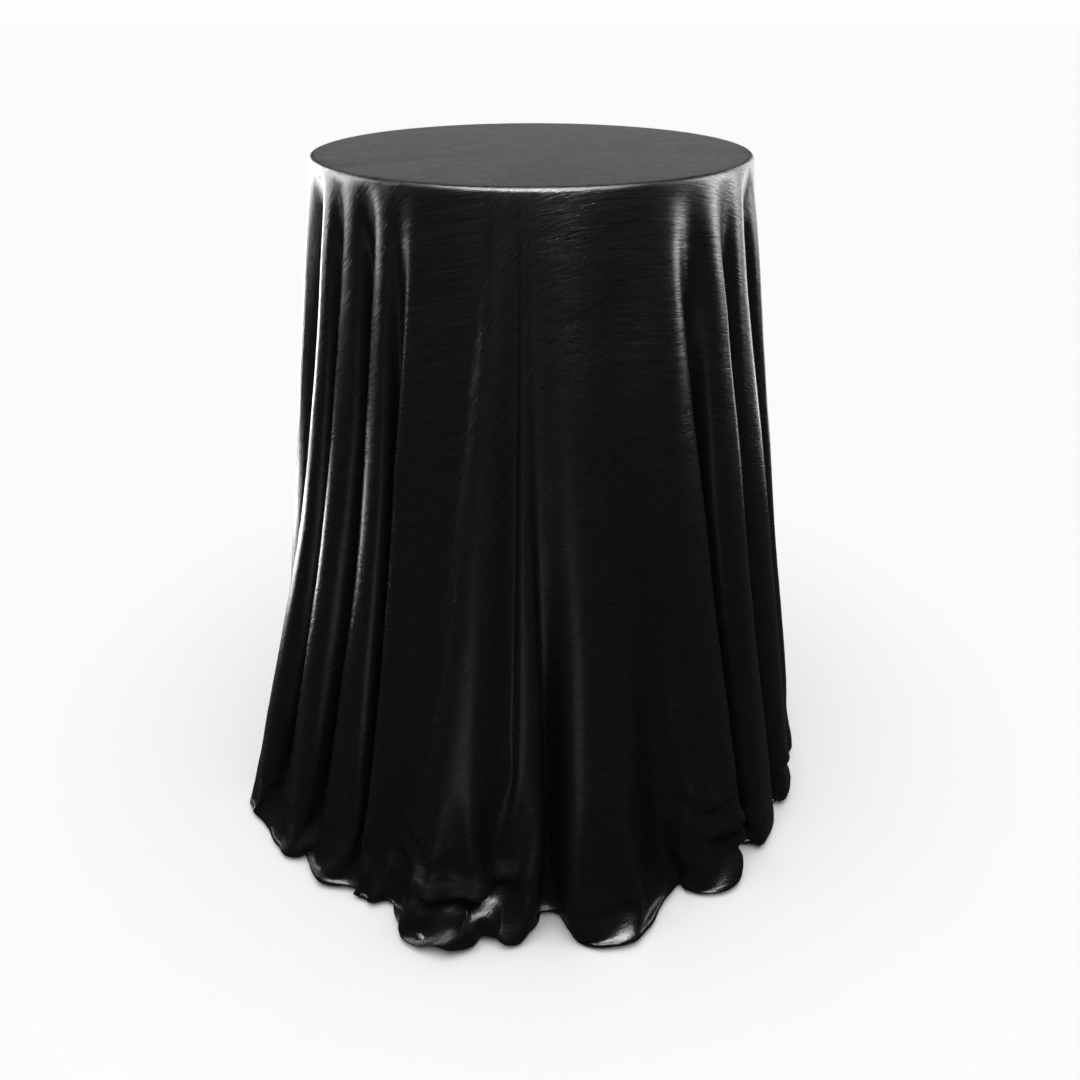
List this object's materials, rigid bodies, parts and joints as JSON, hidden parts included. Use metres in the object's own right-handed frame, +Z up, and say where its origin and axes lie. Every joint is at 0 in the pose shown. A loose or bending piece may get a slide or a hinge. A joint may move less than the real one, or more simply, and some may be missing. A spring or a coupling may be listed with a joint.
{
  "type": "tablecloth on a bar-height pedestal table",
  "caption": "Floor-length round satin tablecloth over a round bar-height pedestal table, its skirt falling in deep folds and turned in along the floor.",
  "frame": {"origin": "on the floor, under the middle of the table top", "axes": "+Z up, -Y towards the viewer, +X to the viewer's right"},
  "size_m": [0.985, 0.985, 1.0692],
  "materials": {
    "satin": "satin",
    "satin_hem": "satin",
    "plywood": "satin",
    "band_vinyl": "satin",
    "painted_casting": "matte",
    "painted_tube": "satin",
    "zinc": "satin",
    "pad_rubber": "matte"
  },
  "bodies": {
    "table": {"table_top": "plywood", "edge_band": "band_vinyl", "top_plate": "painted_casting", "top_plate_screws": "zinc", "column": "painted_tube", "tie_rod": "zinc", "top_washer": "zinc", "top_nut": "zinc", "base_washer": "zinc", "base_nut": "zinc", "base": "painted_casting"},
    "cloth": {"tablecloth": "satin", "hem": "satin_hem"},
    "leveller_1_foot": {"leveller_1_pad": "pad_rubber"},
    "leveller_1_screw": {"leveller_1_stem": "zinc"},
    "leveller_2_foot": {"leveller_2_pad": "pad_rubber"},
    "leveller_2_screw": {"leveller_2_stem": "zinc"},
    "leveller_3_foot": {"leveller_3_pad": "pad_rubber"},
    "leveller_3_screw": {"leveller_3_stem": "zinc"},
    "leveller_4_foot": {"leveller_4_pad": "pad_rubber"},
    "leveller_4_screw": {"leveller_4_stem": "zinc"}
  },
  "joints": [
    {"name": "cloth_lift", "type": "slide", "parent": "table", "child": "cloth", "axis": [0, 0, 1], "range_m": [0, 1.15]},
    {"name": "leveller_1_travel", "type": "slide", "parent": "table", "child": "leveller_1_foot", "axis": [0, 0, -1], "range_m": [0, 0.008]},
    {"name": "leveller_1_turn", "type": "hinge", "parent": "leveller_1_foot", "child": "leveller_1_screw", "pos_m": [0.13435, 0.13435, 0.01], "axis": [0, 0, -1], "range_deg": [0, 1921]},
    {"name": "leveller_2_travel", "type": "slide", "parent": "table", "child": "leveller_2_foot", "axis": [0, 0, -1], "range_m": [0, 0.008]},
    {"name": "leveller_2_turn", "type": "hinge", "parent": "leveller_2_foot", "child": "leveller_2_screw", "pos_m": [-0.13435, 0.13435, 0.01], "axis": [0, 0, -1], "range_deg": [0, 1921]},
    {"name": "leveller_3_travel", "type": "slide", "parent": "table", "child": "leveller_3_foot", "axis": [0, 0, -1], "range_m": [0, 0.008]},
    {"name": "leveller_3_turn", "type": "hinge", "parent": "leveller_3_foot", "child": "leveller_3_screw", "pos_m": [-0.13435, -0.13435, 0.01], "axis": [0, 0, -1], "range_deg": [0, 1921]},
    {"name": "leveller_4_travel", "type": "slide", "parent": "table", "child": "leveller_4_foot", "axis": [0, 0, -1], "range_m": [0, 0.008]},
    {"name": "leveller_4_turn", "type": "hinge", "parent": "leveller_4_foot", "child": "leveller_4_screw", "pos_m": [0.13435, -0.13435, 0.01], "axis": [0, 0, -1], "range_deg": [0, 1921]}
  ],
  "couplings": [
    {"joint": "leveller_1_turn", "follows": "leveller_1_travel", "rad_per_m": 4188.8},
    {"joint": "leveller_2_turn", "follows": "leveller_2_travel", "rad_per_m": 4188.8},
    {"joint": "leveller_3_turn", "follows": "leveller_3_travel", "rad_per_m": 4188.8},
    {"joint": "leveller_4_turn", "follows": "leveller_4_travel", "rad_per_m": 4188.8}
  ]
}
